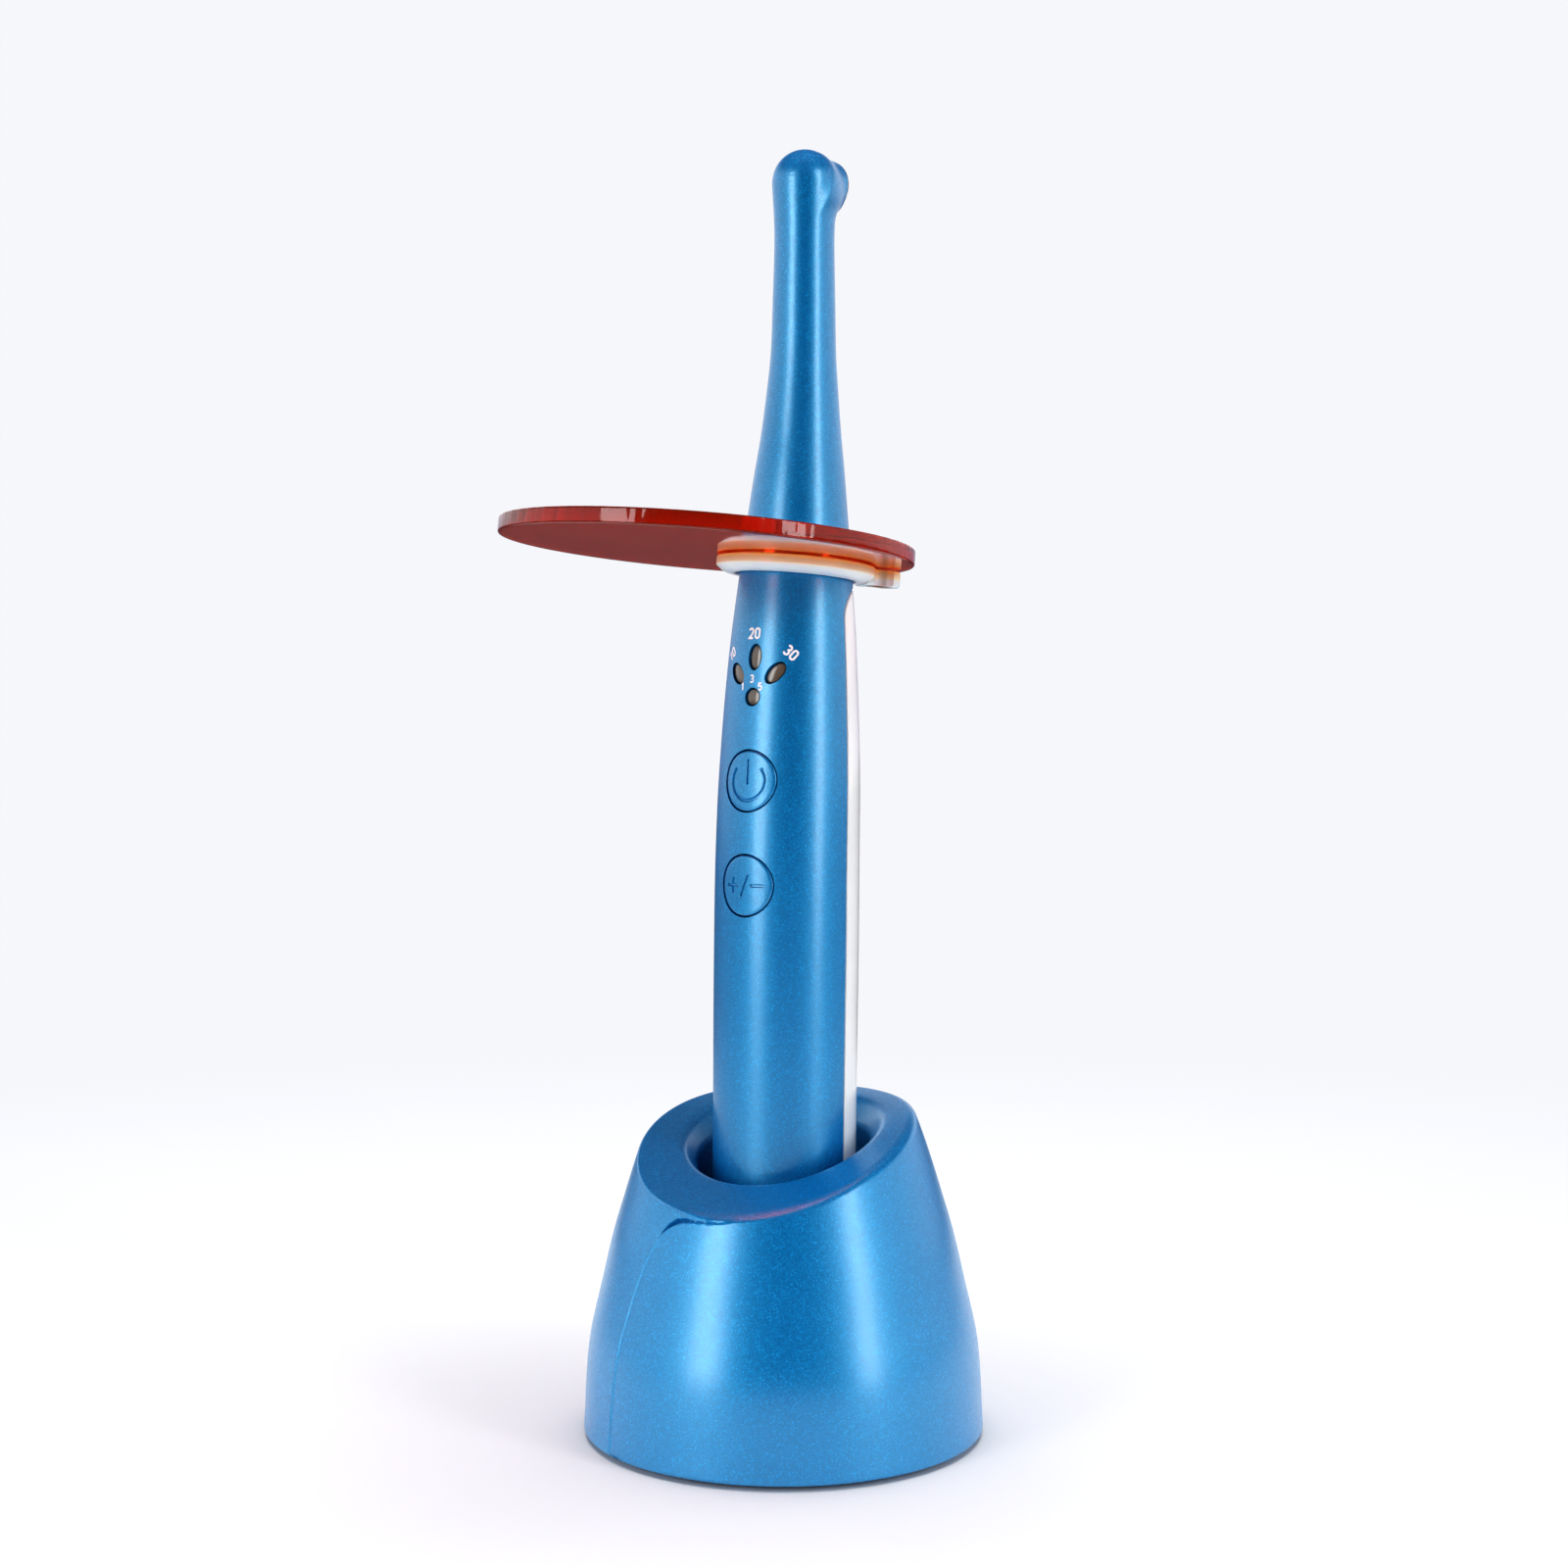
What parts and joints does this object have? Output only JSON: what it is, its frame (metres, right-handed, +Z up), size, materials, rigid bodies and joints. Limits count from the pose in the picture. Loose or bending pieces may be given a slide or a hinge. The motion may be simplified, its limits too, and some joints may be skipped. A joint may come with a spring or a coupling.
{
  "type": "dental curing light",
  "caption": "Cordless pen-shaped dental LED curing light standing in its conical charging base, with press buttons, side-facing lens and a round light shield that turns on the neck.",
  "frame": {"origin": "centre of the base's underside, on the foot pad", "axes": "+Z up along the handpiece; -Y is the side with the buttons; +Y is the side of the lens and the white rear shell"},
  "size_m": [0.09, 0.0907, 0.2514],
  "materials": {
    "blue_pearl": "pearl blue paint, satin gloss with fine flakes",
    "white_gloss": "gloss white",
    "smoked_window": "smoked, clear gloss",
    "silicone": "translucent satin",
    "orange_acrylic": "polished transparent orange",
    "lens_clear": "polished clear",
    "dark_plastic": "matt moulded",
    "foot_rubber": "matt",
    "steel": "satin metal",
    "gold_contact": "gold plated",
    "circuit_board": "green solder mask",
    "component_black": "matt black",
    "component_white": "satin white",
    "emitter": "clear gloss over phosphor",
    "cell": "shrink wrap over a metal can",
    "spreader": "machined",
    "lead_red": "satin insulation",
    "lead_black": "satin insulation"
  },
  "bodies": {
    "base": {"base_shell": "blue_pearl", "cradle_cup": "dark_plastic", "base_plate": "dark_plastic", "foot_pad": "foot_rubber", "base_weight": "steel", "charge_board": "circuit_board", "power_inlet": "steel", "pin_spring_left": "steel", "pin_spring_right": "steel", "base_screw_1": "steel", "base_screw_2": "steel", "base_screw_3": "steel"},
    "handpiece": {"front_shell": "blue_pearl", "rear_shell": "white_gloss", "tail_cap": "blue_pearl", "contact_pad_left": "gold_contact", "contact_pad_right": "gold_contact", "tail_screw_front": "steel", "tail_screw_rear": "steel", "battery_cell": "cell", "battery_holder": "dark_plastic", "main_board": "circuit_board", "power_switch": "component_black", "mode_switch": "component_black", "indicator_led_top": "component_white", "indicator_led_left": "component_white", "indicator_led_right": "component_white", "indicator_led_centre": "component_white", "driver_coil": "component_black", "controller_chip": "component_black", "lead_connector": "component_white", "buzzer": "component_black", "indicator_window": "smoked_window", "heat_spreader": "spreader", "led_board": "component_white", "led_emitter": "emitter", "lens": "lens_clear", "lens_ring": "white_gloss", "led_lead_red": "lead_red", "led_lead_black": "lead_black"},
    "power_button": {"power_button": "blue_pearl"},
    "mode_button": {"mode_button": "blue_pearl"},
    "shield_ring": {"shield_ring": "silicone"},
    "shield_disc": {"shield_disc": "orange_acrylic"},
    "contact_pin_left": {"contact_pin_left": "gold_contact"},
    "contact_pin_right": {"contact_pin_right": "gold_contact"}
  },
  "joints": [
    {"name": "handpiece_lift", "type": "slide", "parent": "base", "child": "handpiece", "axis": [0.0057, 0.0041, 1], "range_m": [0, 0.09]},
    {"name": "power_button_press", "type": "slide", "parent": "handpiece", "child": "power_button", "axis": [0, 1, -0.0041], "range_m": [0, 0.0005], "stiffness_N_per_m": 1500, "springref_m": -0.0004},
    {"name": "mode_button_press", "type": "slide", "parent": "handpiece", "child": "mode_button", "axis": [0, 1, -0.0041], "range_m": [0, 0.0005], "stiffness_N_per_m": 1500, "springref_m": -0.0004},
    {"name": "shield_ring_slide", "type": "slide", "parent": "handpiece", "child": "shield_ring", "axis": [0.0057, 0.044, 0.999], "range_m": [0, 0.092]},
    {"name": "shield_disc_turn", "type": "hinge", "parent": "shield_ring", "child": "shield_disc", "pos_m": [0.0009, 0.003, 0.17], "axis": [0.0547, 0.0593, 0.9967], "continuous": true},
    {"name": "contact_pin_left_press", "type": "slide", "parent": "base", "child": "contact_pin_left", "axis": [0, 0, -1], "range_m": [0, 0.0008], "stiffness_N_per_m": 600, "springref_m": -0.0006, "deforming": ["pin_spring_left"]},
    {"name": "contact_pin_right_press", "type": "slide", "parent": "base", "child": "contact_pin_right", "axis": [0, 0, -1], "range_m": [0, 0.0008], "stiffness_N_per_m": 600, "springref_m": -0.0006, "deforming": ["pin_spring_right"]}
  ]
}
